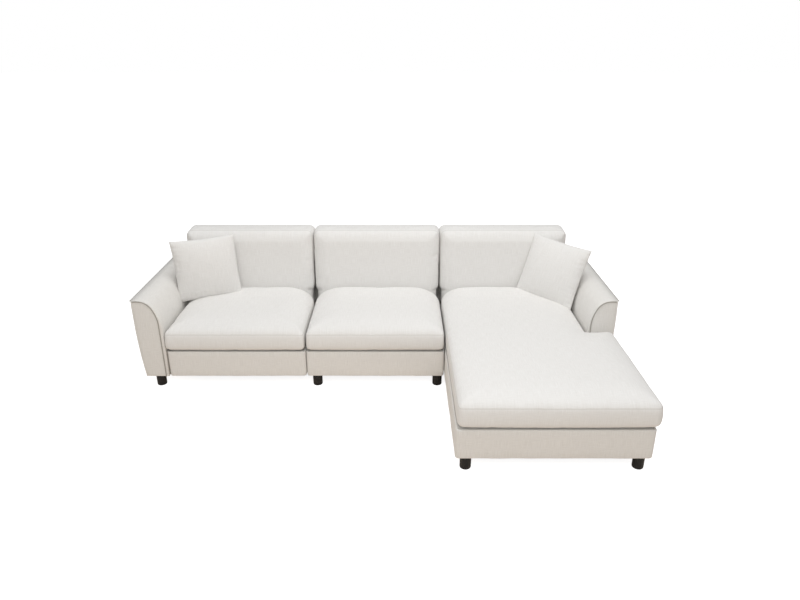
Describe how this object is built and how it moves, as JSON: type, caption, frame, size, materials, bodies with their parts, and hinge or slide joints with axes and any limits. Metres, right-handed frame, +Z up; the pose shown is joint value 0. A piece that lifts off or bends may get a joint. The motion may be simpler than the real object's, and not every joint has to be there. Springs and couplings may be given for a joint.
{
  "type": "sectional sofa with chaise",
  "caption": "Upholstered sectional sofa with a chaise on its right: modules with flared, corded arms, loose boxed cushions, throw pillows and round black feet.",
  "frame": {"origin": "middle of the outer box's underside, on the floor", "axes": "X from the sofa's left end to the chaise's right side as seen from the front, Y to the back, Z up"},
  "size_m": [2.7986, 1.72, 0.8234],
  "materials": {
    "upholstery": "off-white linen-look woven upholstery",
    "cushion_cloth": "off-white linen-look woven cushion covers",
    "pillow_cloth": "off-white linen-look woven pillow covers",
    "piping_cloth": "corded edge in the same cloth, a little darker",
    "foot_plastic": "black satin plastic",
    "frame_timber": "sawn pine and plywood",
    "zinc_steel": "zinc-plated steel",
    "painted_steel": "black powder-coated steel",
    "spring_steel": "oiled spring wire",
    "deck_pad": "plain deck cloth over a thin pad",
    "dust_cloth": "black non-woven dust cloth",
    "webbing": "woven elastic webbing"
  },
  "bodies": {
    "middle_module": {"middle_feet": "foot_plastic", "middle_base_cover": "upholstery", "middle_base_rails": "frame_timber", "middle_corner_blocks": "frame_timber", "middle_springs": "spring_steel", "middle_spring_clips": "zinc_steel", "middle_deck": "deck_pad", "middle_dust_cover": "dust_cloth", "middle_back_cover": "upholstery", "middle_back_frame": "frame_timber", "middle_back_webbing": "webbing", "middle_coupling_straps": "painted_steel"},
    "left_module": {"left_feet": "foot_plastic", "left_base_cover": "upholstery", "left_base_rails": "frame_timber", "left_corner_blocks": "frame_timber", "left_springs": "spring_steel", "left_spring_clips": "zinc_steel", "left_deck": "deck_pad", "left_dust_cover": "dust_cloth", "left_back_cover": "upholstery", "left_back_frame": "frame_timber", "left_back_webbing": "webbing", "left_coupling_plates": "painted_steel", "left_arm_cover": "upholstery", "left_arm_frame": "frame_timber", "left_arm_front_panel": "upholstery", "left_arm_piping": "piping_cloth", "left_arm_bolts": "zinc_steel"},
    "chaise_module": {"chaise_feet": "foot_plastic", "chaise_base_cover": "upholstery", "chaise_base_rails": "frame_timber", "chaise_corner_blocks": "frame_timber", "chaise_springs": "spring_steel", "chaise_spring_clips": "zinc_steel", "chaise_deck": "deck_pad", "chaise_dust_cover": "dust_cloth", "chaise_back_cover": "upholstery", "chaise_back_frame": "frame_timber", "chaise_back_webbing": "webbing", "chaise_coupling_plates": "painted_steel", "right_arm_cover": "upholstery", "right_arm_frame": "frame_timber", "right_arm_front_panel": "upholstery", "right_arm_piping": "piping_cloth", "right_arm_bolts": "zinc_steel"},
    "left_seat": {"left_seat_cushion": "cushion_cloth"},
    "middle_seat": {"middle_seat_cushion": "cushion_cloth"},
    "chaise_seat": {"chaise_cushion": "cushion_cloth"},
    "left_back": {"left_back_cushion": "cushion_cloth"},
    "middle_back": {"middle_back_cushion": "cushion_cloth"},
    "chaise_back": {"chaise_back_cushion": "cushion_cloth"},
    "left_pillow": {"left_throw_pillow": "pillow_cloth"},
    "right_pillow": {"right_throw_pillow": "pillow_cloth"}
  },
  "joints": [
    {"name": "left_module_unhooks", "type": "slide", "parent": "middle_module", "child": "left_module", "axis": [0, 0, 1], "range_m": [0, 0.06]},
    {"name": "chaise_module_unhooks", "type": "slide", "parent": "middle_module", "child": "chaise_module", "axis": [0, 0, 1], "range_m": [0, 0.06]},
    {"name": "left_seat_pulls_out", "type": "slide", "parent": "left_module", "child": "left_seat", "axis": [0, -1, 0], "range_m": [0, 0.62]},
    {"name": "middle_seat_pulls_out", "type": "slide", "parent": "middle_module", "child": "middle_seat", "axis": [0, -1, 0], "range_m": [0, 0.62]},
    {"name": "chaise_seat_pulls_out", "type": "slide", "parent": "chaise_module", "child": "chaise_seat", "axis": [0, -1, 0], "range_m": [0, 1.43]},
    {"name": "left_back_lifts_off", "type": "slide", "parent": "left_module", "child": "left_back", "axis": [0, 0.1132, 0.9936], "range_m": [0, 0.6]},
    {"name": "middle_back_lifts_off", "type": "slide", "parent": "middle_module", "child": "middle_back", "axis": [0, 0.1132, 0.9936], "range_m": [0, 0.6]},
    {"name": "chaise_back_lifts_off", "type": "slide", "parent": "chaise_module", "child": "chaise_back", "axis": [0, 0.1132, 0.9936], "range_m": [0, 0.6]},
    {"name": "left_pillow_lifts_off", "type": "slide", "parent": "left_back", "child": "left_pillow", "axis": [0, -0.5, 0.866], "range_m": [0, 0.5]},
    {"name": "right_pillow_lifts_off", "type": "slide", "parent": "chaise_back", "child": "right_pillow", "axis": [0, -0.5, 0.866], "range_m": [0, 0.5]}
  ]
}
